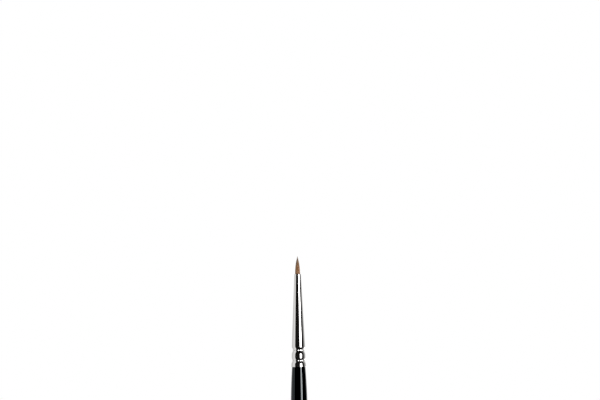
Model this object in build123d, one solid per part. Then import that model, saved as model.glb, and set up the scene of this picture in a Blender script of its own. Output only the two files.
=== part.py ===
from build123d import *
from math import sqrt
import os

# A pointed round detail brush: a tuft of sable hair tied, set in resin and held in a seamless
# nickel-plated ferrule, which is glued and crimped onto a lacquered wooden handle.
#
# Millimetres. +Z runs up the axis of the brush, from the butt of the handle to the tip of the hair,
# and the origin is the lowest point of the butt. Every outline is drawn as (radius, height) and
# turned about Z. Depths are measured down from the mouth of the ferrule.

# Whole brush
LENGTH = 175.0
HAIR_OUT = 5.8
FERRULE_LENGTH = 29.7
MOUTH_Z = LENGTH - HAIR_OUT
SKIRT_Z = MOUTH_Z - FERRULE_LENGTH

# Ferrule: one drawn tube, with two crimped grooves and a bulge between them
WALL = 0.25
LIP_ROUND = 0.08
MOUTH_R = 1.08
CONE_END = (2.19, 23.4)
CRIMPED_LINE = [  # radius, depth, corner radius
    (*CONE_END, 0.8),
    (1.72, 24.35, 0.65),
    (2.20, 25.3, 2.3),
    (2.28, 26.9, 2.2),
    (1.95, 27.65, 0.6),
    (2.34, 28.5, 0.7),
]
SKIRT_END = (2.43, FERRULE_LENGTH)

# Marks that the jaws of the crimping tool leave between them, in both grooves
JAWS = 8
JAW_MARK_ANGLE = -5.0
JAW_MARK_R = 0.15
JAW_MARK_LENGTH = 0.9
GROOVES = [(1.73, 24.37), (1.93, 27.68)]  # centre radius of the marks, depth

# Handle: turned wood under a coat of lacquer, whose end goes a little way up inside the skirt
NECK_GAP = 0.02
COAT = 0.08
NECK_R = SKIRT_END[0] - WALL - NECK_GAP
NECK_DEPTH = 28.9
BELLY_R = 2.7
BELLY_LOW = 116.0
BELLY_HIGH = 124.0
BUTT_R = 1.3

# Tenon of the handle inside the ferrule, and the glue round it
TENON_DEPTH = 13.2
GLUE = NECK_GAP + COAT

# Hair: the longest hairs make the point, and shorter ones round them make the belly
HAIR_R = 0.80
TIP_R = 0.015
POINT_R = 0.38
BUNDLE_GAP = 0.01
BELLY_HAIR_OUT = 3.9
ROOT_LENGTH = 10.0
ROOT_Z = MOUTH_Z - ROOT_LENGTH
ROOT_R = 0.78
WAIST_R = 0.68
MOUTH_FIT = 1.2  # length of the bundle that fits closely inside the mouth

# Thread round the hair roots, and the resin that the roots are set in
THREAD = 0.18
THREAD_TURNS = 8
ROOT_ENDS = 0.9  # length of the roots that sticks out below the thread
TIE_LOW = ROOT_Z + ROOT_ENDS
TIE_HIGH = TIE_LOW + THREAD * THREAD_TURNS
RESIN_UNDER = 0.9
RESIN_OVER = 1.9
RESIN_LOW = ROOT_Z - RESIN_UNDER
RESIN_HIGH = TIE_HIGH + RESIN_OVER

# Side of the tuft: one arc, upright at the mouth and coming in to the tip
TUFT_ARC_R = ((HAIR_R - TIP_R) ** 2 + HAIR_OUT**2) / (2 * (HAIR_R - TIP_R))


def turned(*edges):
    """Solid made by turning a closed outline of edges about the brush's axis."""
    return revolve(Plane.XZ * make_face(Curve() + list(edges)), Axis.Z)


def cone_radius(depth):
    """Outer radius of the ferrule's cone at a depth below the mouth."""
    share = depth / CONE_END[1]
    return MOUTH_R + (CONE_END[0] - MOUTH_R) * share


def skirt_radius(depth):
    """Outer radius of the ferrule's skirt at a depth below the mouth."""
    top_r, top, _ = CRIMPED_LINE[-1]
    share = (depth - top) / (SKIRT_END[1] - top)
    return top_r + (SKIRT_END[0] - top_r) * share


def crimped_side(inset, top, bottom):
    """Side of the ferrule drawn in by inset, from one depth on the cone to another on the skirt."""
    corners = [(cone_radius(top), top)]
    corners += [(r, depth) for r, depth, _ in CRIMPED_LINE]
    corners += [(skirt_radius(bottom), bottom)]
    points = [(r - inset, MOUTH_Z - depth) for r, depth in corners]
    return FilletPolyline(*points, radius=[corner for _, _, corner in CRIMPED_LINE])


def handle_side(inset):
    """Side of the handle drawn in by inset, from the middle of the butt up to the skirt's edge."""
    dome = CenterArc((0, BUTT_R), BUTT_R - inset, -90, 90)
    low = (BELLY_R - inset, BELLY_LOW)
    high = (BELLY_R - inset, BELLY_HIGH)
    tail = Spline(dome @ 1, low, tangents=[(0, 1), (0, 1)])
    belly = Line(low, high)
    shoulder = TangentArc(high, (NECK_R - inset, SKIRT_Z), tangent=(0, 1))
    return [dome, tail, belly, shoulder]


def tuft_radius(z):
    """Radius of the tuft's side at a height."""
    return HAIR_R - TUFT_ARC_R + sqrt(TUFT_ARC_R**2 - (z - MOUTH_Z) ** 2)


def tuft_height(r):
    """Height at which the tuft's side has come in to a radius."""
    return MOUTH_Z + sqrt(TUFT_ARC_R**2 - (TUFT_ARC_R - HAIR_R + r) ** 2)


def tuft_side(low, high):
    """Arc of the tuft's side between two heights."""
    heights = [low, (low + high) / 2, high]
    return ThreePointArc(*[(tuft_radius(z), z) for z in heights])


def crimped_solid(inset, top, bottom):
    """Solid that fills the crimped side out from the axis."""
    side = crimped_side(inset, top, bottom)
    ends = Polyline(side @ 1, (0, MOUTH_Z - bottom), (0, MOUTH_Z - top), side @ 0)
    return turned(side, ends)


def jaw_marks():
    """Small upright ridges left between the jaws, sunk into the bottom of each groove."""
    return [
        Rot(0, 0, JAW_MARK_ANGLE + 360 / JAWS * jaw)
        * Pos(r, 0, MOUTH_Z - depth)
        * Cylinder(JAW_MARK_R, JAW_MARK_LENGTH)
        for r, depth in GROOVES
        for jaw in range(JAWS)
    ]


def ferrule():
    tube = crimped_solid(0, 0, FERRULE_LENGTH) + jaw_marks()
    tube -= crimped_solid(WALL, 0, FERRULE_LENGTH)
    lip = tube.edges().group_by(Axis.Z)[-1]
    return fillet(lip, LIP_ROUND)


def handle_wood():
    side = handle_side(COAT)
    tenon = crimped_side(WALL + GLUE, TENON_DEPTH, FERRULE_LENGTH)
    top = (0, MOUTH_Z - TENON_DEPTH)
    return turned(*side, tenon, Line(tenon @ 0, top), Line(top, side[0] @ 0))


def handle_lacquer():
    """Coat over the whole handle up to its neck: the coated shape less the wood."""
    side = handle_side(0)
    neck = (skirt_radius(NECK_DEPTH) - WALL - NECK_GAP, MOUTH_Z - NECK_DEPTH)
    top = (0, MOUTH_Z - NECK_DEPTH)
    coated = turned(*side, Line(side[-1] @ 1, neck), Line(neck, top), Line(top, side[0] @ 0))
    return coated - handle_wood()


def tenon_glue():
    """Film between the tenon and the ferrule, from the neck up to the tenon's end."""
    depths = (TENON_DEPTH, NECK_DEPTH)
    return crimped_solid(WALL, *depths) - crimped_solid(WALL + GLUE, *depths)


def point_hairs():
    side = tuft_side(tuft_height(POINT_R), LENGTH)
    rest = Polyline(side @ 1, (0, LENGTH), (0, ROOT_Z), (POINT_R, ROOT_Z), side @ 0)
    return turned(side, rest)


def bundle_side(inset):
    """Side of the tied bundle from its roots up to the mouth, drawn in by inset."""
    corners = [
        (ROOT_R, ROOT_Z),
        (WAIST_R, TIE_LOW),
        (WAIST_R, TIE_HIGH),
        (HAIR_R, MOUTH_Z - MOUTH_FIT),
        (HAIR_R, MOUTH_Z),
    ]
    return Polyline(*[(r - inset, z) for r, z in corners])


def belly_hairs():
    low = bundle_side(0)
    side = tuft_side(MOUTH_Z, MOUTH_Z + BELLY_HAIR_OUT)
    inner_r = POINT_R + BUNDLE_GAP
    inner = Polyline(side @ 1, (inner_r, MOUTH_Z + BELLY_HAIR_OUT), (inner_r, ROOT_Z), low @ 0)
    return turned(low, side, inner)


def binding_thread():
    """Turns of thread lying side by side round the waist of the bundle."""
    inner_r = WAIST_R + BUNDLE_GAP
    middle_r = inner_r + THREAD / 2
    starts = [TIE_LOW + THREAD * turn for turn in range(THREAD_TURNS)]
    turns = [
        ThreePointArc((middle_r, z), (middle_r + THREAD / 2, z + THREAD / 2), (middle_r, z + THREAD))
        for z in starts
    ]
    inner = Polyline((middle_r, TIE_HIGH), (inner_r, TIE_HIGH), (inner_r, TIE_LOW), (middle_r, TIE_LOW))
    return turned(*turns, inner)


def root_resin():
    """Plug that fills the ferrule round the tied roots and closes over their ends."""
    low_r = cone_radius(MOUTH_Z - RESIN_LOW) - WALL
    high_r = cone_radius(MOUTH_Z - RESIN_HIGH) - WALL
    sides = Polyline((0, RESIN_LOW), (low_r, RESIN_LOW), (high_r, RESIN_HIGH), (0, RESIN_HIGH), close=True)
    side = bundle_side(-BUNDLE_GAP)
    bottom = ROOT_Z - BUNDLE_GAP
    under = Polyline((0, MOUTH_Z), (0, bottom), (ROOT_R + BUNDLE_GAP, bottom), side @ 0)
    bundle = turned(side, Line(side @ 1, (0, MOUTH_Z)), under)
    return turned(sides) - bundle - binding_thread()


def main():
    os.makedirs("parts", exist_ok=True)
    makers = [
        ferrule,
        point_hairs,
        belly_hairs,
        binding_thread,
        root_resin,
        tenon_glue,
        handle_wood,
        handle_lacquer,
    ]
    for maker in makers:
        export_step(maker(), f"parts/{maker.__name__}.step")


main()
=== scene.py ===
import math
import random

import bpy
from mathutils import Matrix, Vector


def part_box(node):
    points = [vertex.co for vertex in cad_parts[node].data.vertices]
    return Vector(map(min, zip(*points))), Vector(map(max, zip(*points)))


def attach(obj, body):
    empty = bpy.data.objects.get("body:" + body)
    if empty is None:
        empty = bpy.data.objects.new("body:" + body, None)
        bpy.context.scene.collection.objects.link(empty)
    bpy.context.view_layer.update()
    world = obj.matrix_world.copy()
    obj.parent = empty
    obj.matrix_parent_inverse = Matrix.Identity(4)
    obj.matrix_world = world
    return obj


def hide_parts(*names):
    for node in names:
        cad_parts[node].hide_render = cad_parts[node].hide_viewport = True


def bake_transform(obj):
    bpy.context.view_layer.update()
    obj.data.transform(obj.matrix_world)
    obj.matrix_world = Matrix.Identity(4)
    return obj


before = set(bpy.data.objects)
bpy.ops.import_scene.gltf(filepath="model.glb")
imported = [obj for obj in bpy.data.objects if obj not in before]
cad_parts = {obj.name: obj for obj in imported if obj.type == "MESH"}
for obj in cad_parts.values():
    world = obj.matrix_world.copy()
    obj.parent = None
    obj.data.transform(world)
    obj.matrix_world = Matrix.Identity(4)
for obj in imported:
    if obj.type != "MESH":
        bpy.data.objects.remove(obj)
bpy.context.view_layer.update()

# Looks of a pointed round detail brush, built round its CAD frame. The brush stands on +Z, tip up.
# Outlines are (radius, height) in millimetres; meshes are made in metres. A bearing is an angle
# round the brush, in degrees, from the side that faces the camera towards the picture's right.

MM = 0.001
FRONT = -90  # angle from +X of the side that faces the camera


def low(node):
    """Height of a CAD node's lowest point, in mm."""
    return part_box(node)[0].z / MM


def high(node):
    """Height of a CAD node's highest point, in mm."""
    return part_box(node)[1].z / MM


def widest(node):
    """Widest radius of a CAD node, in mm."""
    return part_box(node)[1].x / MM


# Heights that the frame gives
TIP = high("point_hairs")
MOUTH = high("ferrule")
SKIRT = low("ferrule")
NECK = high("handle_lacquer")
ROOTS = low("point_hairs")
TIE_LOW = low("binding_thread")
TIE_HIGH = high("binding_thread")

# Ferrule
WALL = 0.25
LIP_ROUND = 0.08
EDGE_ROUND = 0.05
MOUTH_R = 1.08
SKIRT_R = widest("ferrule")
CRIMPED_LINE = [  # radius, depth below the mouth, corner radius
    (2.19, 23.4, 0.8),
    (1.72, 24.35, 0.65),
    (2.20, 25.3, 2.3),
    (2.28, 26.9, 2.2),
    (1.95, 27.65, 0.6),
    (2.34, 28.5, 0.7),
]

# Ridges that the jaws of the crimping tool leave between them in each groove. Their bearing and
# width are in degrees, and their reach is up and down the groove.
JAWS = 8
FIRST_RIDGE = -5.0
RIDGE_HEIGHT = 0.08
RIDGE_WIDTH = 4.6
RIDGE_REACH = 0.34
GROOVE_DEPTHS = (24.37, 27.68)

# Handle, whose neck draws in a little where it goes up inside the skirt
COAT = 0.08
BELLY_R = widest("handle_lacquer")
BELLY_LOW = 116.0
BELLY_HIGH = 124.0
BUTT_R = 1.3
NECK_GAP = 0.02
NECK_R = SKIRT_R - WALL - NECK_GAP
NECK_DRAW = 0.06

# Tuft: the roots' widest radius, the thread's waist, and the length that fits inside the mouth
TUFT_R = widest("belly_hairs")
TIP_R = 0.015
ROOT_R = 0.78
WAIST_R = 0.68
MOUTH_FIT = 1.2
POINT_DRAW = 0.3  # share of its radius by which the tip is drawn in
POINT_POWER = 6  # the higher, the nearer to the tip that starts

# Hairs, laid out from the middle like the seeds of a sunflower: the share of the tuft's radius whose
# hairs make the point, the share of its section that hairs fill, and how thin and short they end
HAIRS = 420
HAIR_SEED = 7
GOLDEN_ANGLE = math.pi * (3 - math.sqrt(5))
POINT_SHARE = 0.5
HAIR_FILL = 0.9
PACKING_POWER = 0.85  # at 1, a hair would narrow just as the tuft does
HAIR_THINNING = 0.85
THINNING_POWER = 3  # the higher, the nearer to its end a hair thins
HAIR_SHORTENING = 0.42
SHORT_POWER = 1.6  # the higher, the fewer hairs are much shorter
OUTER_POWER = 1.5  # the higher, the more it is the outer hairs that are shorter

# Hairs: how far they stray round the tuft, and how they wave, in radians
HAIR_STRAY = 0.10
HAIR_WAVE = 0.02
HAIR_WAVES = 9

# Hairs: their meshes
HAIR_SIDES = 6
HAIR_RINGS = 18
RING_POWER = 0.85  # under 1, the rings are closer towards the end

# Thread
THREAD_R = 0.085
THREAD_PITCH = 0.18
THREAD_GAP = 0.01
WINDING_R = WAIST_R + THREAD_GAP + THREAD_R
THREAD_SIDES = 8
THREAD_STEPS = 48

# Meshes of the turned pieces
FERRULE_SIDES = 256
HANDLE_SIDES = 128
ARC_STEP = math.radians(4)
ARC_STEPS_LEAST = 3
RUN_PIECES = 12
RUN_PITCH = 0.05
BUTT_STEPS = 16
TAIL_STEPS = 40
SHOULDER_STEPS = 24


# ---------------------------------------------------------------- outlines and meshes


def shares(count):
    """Shares of the way from 0 to 1, in so many equal steps."""
    return [k / count for k in range(count + 1)]


def arc_at(before, here, after, corner):
    """Points of the arc that rounds the corner at here."""
    to_before = (before - here).normalized()
    to_after = (after - here).normalized()
    half = to_before.angle(to_after) / 2
    centre = here + (to_before + to_after).normalized() * corner / math.sin(half)
    reach = corner / math.tan(half)
    start = here + to_before * reach - centre
    end = here + to_after * reach - centre
    steps = max(ARC_STEPS_LEAST, math.ceil((math.pi - 2 * half) / ARC_STEP))
    return [centre + start.slerp(end, share).normalized() * corner for share in shares(steps)]


def divided(loop):
    """The same closed outline with its long runs cut into pieces, none shorter than about the pitch."""
    out = []
    for a, b in zip(loop, loop[1:] + loop[:1]):
        count = min(RUN_PIECES, max(1, round((b - a).length / RUN_PITCH)))
        out += [a.lerp(b, k / count) for k in range(count)]
    return out


def rounded_loop(corners):
    """Closed outline through (radius, height, corner radius) corners, each rounded."""
    places = [Vector(c[:2]) for c in corners]
    loop = []
    for k, (place, corner) in enumerate(zip(places, corners)):
        loop += arc_at(places[k - 1], place, places[(k + 1) % len(places)], corner[2])
    return divided(loop)


def linked(name, data):
    """Object of a mesh or a camera, put in the scene."""
    made = bpy.data.objects.new(name, data)
    bpy.context.scene.collection.objects.link(made)
    return made


def flat_object(name, verts, faces):
    """Flat-shaded object from vertices in metres."""
    mesh = bpy.data.meshes.new(name)
    mesh.from_pydata(verts, [], faces)
    return linked(name, mesh)


def mesh_object(name, verts, faces):
    """Smooth-shaded piece of the brush from vertices in mm, in the frame's metres."""
    made = flat_object(name, [Vector(v) * MM for v in verts], faces)
    made.data.polygons.foreach_set("use_smooth", [True] * len(faces))
    made.data.update()
    return made


def lathe(name, outline, sides, closed=False, swell=None):
    """Outline turned about Z. It runs up the outside, so that faces look outwards."""
    verts = []
    rings = []
    for r, z in outline:
        first = len(verts)
        if r == 0:
            verts.append((0, 0, z))
            rings.append([first] * sides)
            continue
        for k in range(sides):
            a = 2 * math.pi * k / sides
            grown = r + (swell(z, a) if swell else 0)
            verts.append((grown * math.cos(a), grown * math.sin(a), z))
        rings.append(list(range(first, first + sides)))
    pairs = list(zip(rings, rings[1:]))
    if closed:
        pairs.append((rings[-1], rings[0]))
    faces = []
    for below, above in pairs:
        for k in range(sides):
            n = (k + 1) % sides
            corners = (below[k], below[n], above[n], above[k])
            faces.append(tuple(dict.fromkeys(corners)))
    return mesh_object(name, verts, faces)


# ---------------------------------------------------------------- ferrule


def ridges(z, a):
    """How far the ridges between the jaws stand out at a height and an angle."""
    spacing = 360 / JAWS
    bearing = math.degrees(a) - FRONT - FIRST_RIDGE
    off = (bearing + spacing / 2) % spacing - spacing / 2
    across = math.exp(-((off / RIDGE_WIDTH) ** 2))
    along = sum(math.exp(-(((MOUTH - z - depth) / RIDGE_REACH) ** 2)) for depth in GROOVE_DEPTHS)
    return RIDGE_HEIGHT * across * along


def make_ferrule():
    side = [(r, MOUTH - depth, corner) for r, depth, corner in reversed(CRIMPED_LINE)]
    outside = [(SKIRT_R, SKIRT, EDGE_ROUND), *side, (MOUTH_R, MOUTH, LIP_ROUND)]
    inside = [(r - WALL, z, corner) for r, z, corner in reversed(outside)]
    loop = rounded_loop(outside + inside)
    return lathe("ferrule_shell", loop, FERRULE_SIDES, closed=True, swell=ridges)


# ---------------------------------------------------------------- handle


def handle_outline(inset):
    """Side of the handle from the middle of its butt up to its neck, drawn in by inset.

    The tail eases out of the butt and into the belly, and the shoulder is an arc.
    """
    outline = []
    for share in shares(BUTT_STEPS):
        a = math.pi / 2 * share
        outline.append(((BUTT_R - inset) * math.sin(a), BUTT_R - (BUTT_R - inset) * math.cos(a)))
    for share in shares(TAIL_STEPS)[1:]:
        eased = share * share * (3 - 2 * share)
        r = BUTT_R + (BELLY_R - BUTT_R) * eased - inset
        outline.append((r, BUTT_R + (BELLY_LOW - BUTT_R) * share))
    rise = SKIRT - BELLY_HIGH
    fall = BELLY_R - NECK_R
    arc_r = (rise**2 + fall**2) / (2 * fall)
    for share in shares(SHOULDER_STEPS):
        up = rise * share
        outline.append((BELLY_R - inset - arc_r + math.sqrt(arc_r**2 - up**2), BELLY_HIGH + up))
    outline.append((NECK_R - inset - NECK_DRAW, NECK))
    return outline


def make_lacquer():
    outside = handle_outline(0)
    inside = handle_outline(COAT)
    return lathe("lacquer_coat", outside + inside[::-1], HANDLE_SIDES)


# ---------------------------------------------------------------- hair


def tuft_radius(up):
    """Radius of the tuft above the mouth: an arc, upright at the mouth, that ends in a fine point."""
    fall = TUFT_R - TIP_R
    length = TIP - MOUTH
    arc_r = (fall**2 + length**2) / (2 * fall)
    arc = TUFT_R - arc_r + math.sqrt(arc_r**2 - up**2)
    return arc * (1 - POINT_DRAW * (up / length) ** POINT_POWER)


def bundle_radius(z):
    """Radius of the whole bundle of hair at a height, inside the ferrule and out of it."""
    if z >= MOUTH:
        return tuft_radius(z - MOUTH)
    stations = [(ROOTS, ROOT_R), (TIE_LOW, WAIST_R), (TIE_HIGH, WAIST_R), (MOUTH - MOUTH_FIT, TUFT_R)]
    for (z0, r0), (z1, r1) in zip(stations, stations[1:]):
        if z <= z1:
            return r0 + (r1 - r0) * (z - z0) / (z1 - z0)
    return TUFT_R


def hair_radius(z, end):
    """Half the thickness of one hair that ends at a height."""
    full = TUFT_R * math.sqrt(HAIR_FILL / HAIRS)
    packed = full * (bundle_radius(z) / TUFT_R) ** PACKING_POWER
    share = max(z - MOUTH, 0) / (end - MOUTH)
    return packed * (1 - HAIR_THINNING * share**THINNING_POWER)


def hair_heights(end):
    """Heights of a hair's rings: a few inside the ferrule, then closer towards its end."""
    inside = [ROOTS, TIE_LOW, TIE_HIGH, MOUTH - MOUTH_FIT]
    steps = HAIR_RINGS - len(inside) - 1
    return inside + [MOUTH + (end - MOUTH) * share**RING_POWER for share in shares(steps)]


def hair(centre_share, angle, rng):
    """Rings of one hair: a list of (centre, half thickness, share of its length)."""
    stray = HAIR_STRAY * rng.gauss(0, 1)
    shortening = HAIR_SHORTENING * rng.random() ** SHORT_POWER * centre_share**OUTER_POWER
    end = MOUTH + (TIP - MOUTH) * (1 - shortening)
    wave = rng.uniform(0, 2 * math.pi)
    rings = []
    for z in hair_heights(end):
        up = max(z - MOUTH, 0) / (TIP - MOUTH)
        half = hair_radius(z, end)
        out = centre_share * max(bundle_radius(z) - half, 0)
        turn = angle + stray * up + HAIR_WAVE * math.sin(HAIR_WAVES * up + wave)
        rings.append((Vector((out * math.cos(turn), out * math.sin(turn), z)), half, up))
    return rings


def make_hairs(name, chosen, rng):
    """One mesh of the chosen hairs, counted from the middle out. Each is a closed tapered tube."""
    verts, faces, along, tone = [], [], [], []
    for index in chosen:
        centre_share = math.sqrt((index + 0.5) / HAIRS)
        shade = rng.random()
        rings = hair(centre_share, index * GOLDEN_ANGLE, rng)
        first = len(verts)
        for centre, half, up in rings:
            for side in range(HAIR_SIDES):
                a = 2 * math.pi * side / HAIR_SIDES
                verts.append(centre + Vector((half * math.cos(a), half * math.sin(a), 0)))
                along.append(up)
                tone.append(shade)
        for ring in range(len(rings) - 1):
            base = first + ring * HAIR_SIDES
            for side in range(HAIR_SIDES):
                n = (side + 1) % HAIR_SIDES
                faces.append((base + side, base + n, base + HAIR_SIDES + n, base + HAIR_SIDES + side))
        faces.append(tuple(range(first + HAIR_SIDES - 1, first - 1, -1)))
        top = first + (len(rings) - 1) * HAIR_SIDES
        faces.append(tuple(range(top, top + HAIR_SIDES)))
    made = mesh_object(name, verts, faces)
    for label, values in (("along", along), ("tone", tone)):
        made.data.attributes.new(label, "FLOAT", "POINT").data.foreach_set("value", values)
    return made


# ---------------------------------------------------------------- thread


def make_thread():
    """Waxed thread wound round the roots: one helix, closed at both ends."""
    turns = round((TIE_HIGH - TIE_LOW) / THREAD_PITCH)
    count = turns * THREAD_STEPS
    climb = (TIE_HIGH - TIE_LOW - 2 * THREAD_R) / count
    up = Vector((0, 0, 1))
    verts, faces = [], []
    for k in range(count + 1):
        a = 2 * math.pi * k / THREAD_STEPS
        out = Vector((math.cos(a), math.sin(a), 0))
        centre = out * WINDING_R + up * (TIE_LOW + THREAD_R + climb * k)
        for side in range(THREAD_SIDES):
            b = 2 * math.pi * side / THREAD_SIDES
            verts.append(centre + (out * math.cos(b) + up * math.sin(b)) * THREAD_R)
    for k in range(count):
        here = k * THREAD_SIDES
        there = here + THREAD_SIDES
        for side in range(THREAD_SIDES):
            n = (side + 1) % THREAD_SIDES
            faces.append((here + n, here + side, there + side, there + n))
    faces.append(tuple(range(THREAD_SIDES)))
    faces.append(tuple(range(len(verts) - 1, len(verts) - 1 - THREAD_SIDES, -1)))
    return mesh_object("thread_winding", verts, faces)


# ---------------------------------------------------------------- materials


class Look:
    """A material being built: its nodes, and its Principled shader."""

    def __init__(self, name, **settings):
        self.material = bpy.data.materials.new(name)
        self.material.use_nodes = True
        self.tree = self.material.node_tree
        self.shader = self.tree.nodes["Principled BSDF"]
        for label, value in settings.items():
            self.shader.inputs[label.replace("_", " ")].default_value = value

    def node(self, kind, **settings):
        made = self.tree.nodes.new("ShaderNode" + kind)
        for label, value in settings.items():
            setattr(made, label, value)
        return made

    def link(self, a, b):
        self.tree.links.new(a, b)

    def feed(self, label, output):
        self.link(output, self.shader.inputs[label])

    def place(self, stretch):
        """Object coordinates in millimetres, multiplied along each axis."""
        mapping = self.node("Mapping")
        mapping.inputs["Scale"].default_value = [s / MM for s in stretch]
        self.link(self.node("TexCoord").outputs["Object"], mapping.inputs["Vector"])
        return mapping.outputs["Vector"]

    def noise(self, stretch, detail=3.0, roughness=0.5):
        """Noise from 0 to 1 whose grain is about 1 / stretch millimetres along each axis."""
        made = self.node("TexNoise")
        made.inputs["Scale"].default_value = 1.0
        made.inputs["Detail"].default_value = detail
        made.inputs["Roughness"].default_value = roughness
        self.link(self.place(stretch), made.inputs["Vector"])
        return made.outputs["Fac"]

    def attribute(self, name):
        return self.node("Attribute", attribute_name=name).outputs["Fac"]

    def span(self, value, before, after):
        """The value carried from one range to another."""
        made = self.node("MapRange")
        self.link(value, made.inputs["Value"])
        for label, ends in (("From", before), ("To", after)):
            made.inputs[label + " Min"].default_value = ends[0]
            made.inputs[label + " Max"].default_value = ends[1]
        return made.outputs["Result"]

    def ramp(self, value, *stops):
        """Colour from (position, colour) stops."""
        made = self.node("ValToRGB")
        self.link(value, made.inputs["Fac"])
        elements = made.color_ramp.elements
        while len(elements) < len(stops):
            elements.new(0.5)
        for element, (position, colour) in zip(elements, stops):
            element.position = position
            element.color = (*colour, 1)
        return made.outputs["Color"]

    def tinted(self, colour, value):
        """The colour multiplied by a value."""
        made = self.node("VectorMath", operation="SCALE")
        self.link(colour, made.inputs[0])
        self.link(value, made.inputs["Scale"])
        return made.outputs["Vector"]

    def bump(self, height, distance, strength):
        """Bumps that stand out by up to a distance in mm."""
        made = self.node("Bump")
        made.inputs["Distance"].default_value = distance * MM
        made.inputs["Strength"].default_value = strength
        self.link(height, made.inputs["Height"])
        self.feed("Normal", made.outputs["Normal"])


def nickel_look():
    """Polished plate, with fine marks of drawing round the tube and smudges in its colour."""
    look = Look("nickel_plate", Metallic=1.0)
    polish = look.noise((0.5, 0.5, 14), detail=4)
    smudge = look.noise((0.7, 0.7, 0.25), detail=2)
    colour = look.ramp(smudge, (0.3, (0.70, 0.69, 0.675)), (0.7, (0.76, 0.75, 0.74)))
    look.feed("Base Color", colour)
    look.feed("Roughness", look.span(polish, (0.3, 0.7), (0.03, 0.07)))
    look.bump(polish, 0.0002, 0.5)
    return look.material


def lacquer_look():
    """Gloss black lacquer, with soft waves in its surface and duller places where it is handled."""
    look = Look("black_lacquer", IOR=1.6, Specular_Tint=(0.92, 0.98, 1.0, 1.0))
    peel = look.noise((1.1, 1.1, 0.7), detail=2)
    wear = look.noise((0.25, 0.25, 0.08))
    colour = look.ramp(wear, (0.3, (0.0016, 0.0016, 0.0018)), (0.8, (0.0032, 0.0032, 0.0036)))
    look.feed("Base Color", colour)
    look.feed("Roughness", look.span(wear, (0.3, 0.75), (0.06, 0.12)))
    look.bump(peel, 0.004, 0.6)
    return look.material


def hair_look():
    """Sable hair, brown at its root and greyer at its tip. Each hair has its own tone and gloss."""
    look = Look("sable_hair", IOR=1.5)
    along = look.attribute("along")
    tone = look.attribute("tone")
    colour = look.ramp(
        along,
        (0.0, (0.325, 0.182, 0.104)),
        (0.35, (0.325, 0.174, 0.094)),
        (0.65, (0.30, 0.192, 0.125)),
        (1.0, (0.43, 0.36, 0.31)),
    )
    look.feed("Base Color", look.tinted(colour, look.span(tone, (0, 1), (0.80, 1.20))))
    look.feed("Roughness", look.span(tone, (0, 1), (0.38, 0.52)))
    scales = look.noise((30, 30, 9), detail=2)
    look.bump(scales, 0.003, 0.4)
    return look.material


def wood_look():
    """Turned hardwood, with long grain and dark pores."""
    look = Look("handle_wood", Roughness=0.6)
    grain = look.noise((3.0, 3.0, 0.12), detail=6, roughness=0.6)
    pores = look.noise((16, 16, 0.7), detail=2)
    colour = look.ramp(
        grain,
        (0.3, (0.46, 0.29, 0.15)),
        (0.6, (0.62, 0.44, 0.27)),
        (0.8, (0.70, 0.53, 0.35)),
    )
    look.feed("Base Color", look.tinted(colour, look.span(pores, (0.35, 0.5), (0.8, 1.0))))
    look.bump(pores, 0.02, 0.5)
    return look.material


def thread_look():
    """Pale waxed thread, with its fibres."""
    look = Look("waxed_thread", Roughness=0.55)
    fibre = look.noise((24, 24, 60))
    look.feed("Base Color", look.ramp(fibre, (0.3, (0.60, 0.55, 0.45)), (0.7, (0.80, 0.76, 0.66))))
    look.bump(fibre, 0.01, 0.6)
    return look.material


def resin_look():
    """Amber resin, a little cloudy."""
    look = Look("root_resin", Roughness=0.15, IOR=1.55)
    cloud = look.noise((1.2, 1.2, 1.2), detail=2)
    look.feed("Base Color", look.ramp(cloud, (0.3, (0.42, 0.24, 0.06)), (0.7, (0.60, 0.40, 0.14))))
    look.bump(cloud, 0.01, 0.3)
    return look.material


def glue_look():
    """Set glue with a mottled skin."""
    look = Look("tenon_glue", Roughness=0.5)
    skin = look.noise((4, 4, 4))
    look.feed("Base Color", look.ramp(skin, (0.3, (0.62, 0.55, 0.40)), (0.7, (0.74, 0.69, 0.54))))
    look.bump(skin, 0.01, 0.4)
    return look.material


def paint(thing, material):
    """Gives an object one material, in its own slot."""
    if not thing.material_slots:
        thing.data.materials.append(None)
    for place in thing.material_slots:
        place.link = "OBJECT"
        place.material = material


# ---------------------------------------------------------------- stage, light and camera

# Ring of cards, in metres and degrees. The softbox stands in front of it, inside its own dimmer rim.
PANEL_R = 0.8
RIM_R = 0.79
SOFTBOX_R = 0.78
KEY_R = 0.75
SOFTBOX_CORNER = 0.8
PANEL_STEPS = 32
LID_SIDES = 48
STUDIO_EDGE = 60
EYE = (MOUTH + SKIRT) / 2 * MM

# Floor, in metres: it turns from lit floor at the brush into plain white at FADE_END
FLOOR_R = 0.9
FLOOR_SIDES = 96
FADE_END = 0.45
FADE_SHARES = (0.3, 1)

# Surroundings as a light, and the photograph's blacks
FILL_LIGHT = 0.6
BLACK_LEVEL = 0.03


def glow(name, radiance):
    """Material that gives the same light all over."""
    made = bpy.data.materials.new(name)
    made.use_nodes = True
    nodes = made.node_tree.nodes
    nodes.clear()
    light = nodes.new("ShaderNodeEmission")
    light.inputs["Color"].default_value = (1, 1, 1, 1)
    light.inputs["Strength"].default_value = radiance
    made.node_tree.links.new(light.outputs[0], nodes.new("ShaderNodeOutputMaterial").inputs["Surface"])
    return made


def height_at(elevation, radius=PANEL_R):
    """Height of a place on a card that is seen from the ferrule at an elevation in degrees."""
    return EYE + radius * math.tan(math.radians(elevation))


def card(name, verts, faces, radiance, lights, mirrored=True):
    """Evenly glowing card that the camera doesn't see. It lights matt surfaces or is mirrored."""
    made = flat_object(name, verts, faces)
    made.data.materials.append(glow(name, radiance))
    made.visible_camera = False
    made.visible_shadow = False
    made.visible_diffuse = lights
    made.visible_glossy = mirrored


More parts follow.
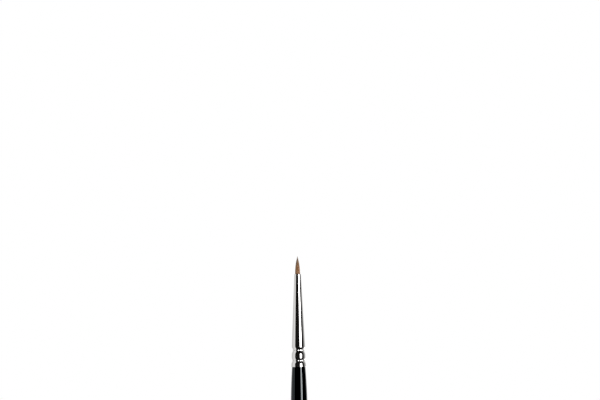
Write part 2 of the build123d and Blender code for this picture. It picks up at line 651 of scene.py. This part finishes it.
def panel(name, bearings, elevations, radiance, lights=False, mirrored=True, radius=PANEL_R, corner=0):
    """Upright card curved round the brush. With a corner, each end of it tapers to an arc."""
    start, end = bearings
    low_end, high_end = (height_at(e, radius) for e in elevations)
    middle = (low_end + high_end) / 2
    verts = []
    for across in shares(PANEL_STEPS):
        tall = 1 - corner + corner * math.sqrt(1 - (2 * across - 1) ** 2)
        a = math.radians(FRONT + start + (end - start) * across)
        for z in (low_end, high_end):
            verts.append((radius * math.cos(a), radius * math.sin(a), middle + (z - middle) * tall))
    faces = [(2 * k, 2 * k + 2, 2 * k + 3, 2 * k + 1) for k in range(PANEL_STEPS)]
    card(name, verts, faces, radiance, lights, mirrored)


def disc(radius, z, sides):
    """Vertices and the one face of a level disc."""
    ring = [2 * math.pi * k / sides for k in range(sides)]
    return [(radius * math.cos(a), radius * math.sin(a), z) for a in ring], [tuple(range(sides))]


def lid(name, elevation, radiance):
    """Round card that closes the ring of panels above or below."""
    card(name, *disc(PANEL_R, height_at(elevation), LID_SIDES), radiance, lights=False)


def make_floor():
    """Pale round floor that fades into the white surroundings towards its rim."""
    floor = flat_object("floor", *disc(FLOOR_R, 0, FLOOR_SIDES))
    look = Look("floor", Roughness=0.9)
    mottle = look.noise((0.02, 0.02, 0.02))
    look.feed("Base Color", look.ramp(mottle, (0.3, (0.70, 0.70, 0.70)), (0.7, (0.74, 0.74, 0.74))))
    distance = look.node("VectorMath", operation="LENGTH")
    look.link(look.node("TexCoord").outputs["Object"], distance.inputs[0])
    share = look.span(distance.outputs["Value"], (0, FADE_END), FADE_SHARES)
    white = look.node("Emission")
    mix = look.node("MixShader")
    look.link(share, mix.inputs["Fac"])
    look.link(look.shader.outputs[0], mix.inputs[1])
    look.link(white.outputs[0], mix.inputs[2])
    look.link(mix.outputs[0], look.tree.nodes["Material Output"].inputs["Surface"])
    floor.data.materials.append(look.material)
    floor.visible_glossy = False


def make_world():
    """White surroundings, dimmer as a light than they look."""
    world = bpy.data.worlds.new("studio")
    world.use_nodes = True
    tree = world.node_tree
    seen = tree.nodes["Background"]
    seen.inputs["Color"].default_value = (1, 1, 1, 1)
    fill = tree.nodes.new("ShaderNodeBackground")
    fill.inputs["Color"].default_value = (1, 1, 1, 1)
    fill.inputs["Strength"].default_value = FILL_LIGHT
    ray = tree.nodes.new("ShaderNodeLightPath")
    mix = tree.nodes.new("ShaderNodeMixShader")
    tree.links.new(ray.outputs["Is Camera Ray"], mix.inputs["Fac"])
    tree.links.new(fill.outputs[0], mix.inputs[1])
    tree.links.new(seen.outputs[0], mix.inputs[2])
    tree.links.new(mix.outputs[0], tree.nodes["World Output"].inputs["Surface"])
    bpy.context.scene.world = world
    view = bpy.context.scene.view_settings
    view.view_transform = "Standard"
    view.use_curve_mapping = True
    view.curve_mapping.black_level = (BLACK_LEVEL,) * 3
    view.curve_mapping.update()


def make_studio():
    """Softbox on the right, dark in front, white behind and on the left: what the metal mirrors."""
    tall = (-STUDIO_EDGE, STUDIO_EDGE)
    panel("softbox_rim", (20, 54), (-26, 26), 1.6, lights=True, radius=RIM_R, corner=SOFTBOX_CORNER)
    panel("softbox", (31, 52), (-17, 17), 7.5, lights=True, radius=SOFTBOX_R, corner=SOFTBOX_CORNER)
    panel("front_card", (-59, 60), tall, 0.05)
    panel("right_card", (60, 97), tall, 0.07)
    panel("right_backdrop", (97, 130), tall, 0.40)
    panel("backdrop", (130, 210), tall, 1.0, lights=True)
    panel("left_fill_far", (210, 260), tall, 0.75, lights=True)
    panel("left_fill", (260, 301), tall, 0.92, lights=True)
    panel("back_low_strip", (148, 170), (-50, -8), 6.0, radius=SOFTBOX_R)
    panel("key_light", (50, 100), (-10, 50), 2.5, lights=True, mirrored=False, radius=KEY_R)
    lid("ceiling", STUDIO_EDGE, 0.4)
    lid("underside", -STUDIO_EDGE, 0.35)


def make_camera():
    """Long lens at the height of the picture's middle, which lies above the tip of the brush."""
    lens = 400
    sensor_width = 36
    picture_width = 192
    tip_from_middle = (-0.83, -17.9)
    lean = math.radians(0.68)
    data = bpy.data.cameras.new("camera")
    data.lens = lens
    data.sensor_width = sensor_width
    camera = linked("camera", data)
    right, up = tip_from_middle
    x = -(right * math.cos(lean) + up * math.sin(lean))
    z = TIP - (up * math.cos(lean) - right * math.sin(lean))
    distance = lens / sensor_width * picture_width
    place = Matrix.Translation(Vector((x, -distance, z)) * MM)
    camera.matrix_world = place @ Matrix.Rotation(math.pi / 2, 4, "X") @ Matrix.Rotation(-lean, 4, "Z")
    data.clip_end = 50
    bpy.context.scene.camera = camera


# ---------------------------------------------------------------- the brush


def build_brush():
    ferrule = make_ferrule()
    paint(ferrule, nickel_look())
    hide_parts("ferrule")

    lacquer = make_lacquer()
    paint(lacquer, lacquer_look())
    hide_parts("handle_lacquer")

    thread = make_thread()
    paint(thread, thread_look())
    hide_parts("binding_thread")

    for piece in (ferrule, lacquer, thread):
        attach(piece, "handle")

    paint(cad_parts["handle_wood"], wood_look())
    paint(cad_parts["root_resin"], resin_look())
    paint(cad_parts["tenon_glue"], glue_look())

    rng = random.Random(HAIR_SEED)
    split = round(HAIRS * POINT_SHARE**2)
    sable = hair_look()
    groups = {"point_hairs": range(split), "belly_hairs": range(split, HAIRS)}
    for node, chosen in groups.items():
        tuft = make_hairs("sable_" + node, chosen, rng)
        paint(tuft, sable)
        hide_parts(node)
        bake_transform(tuft)


build_brush()
make_world()
make_studio()
make_floor()
make_camera()
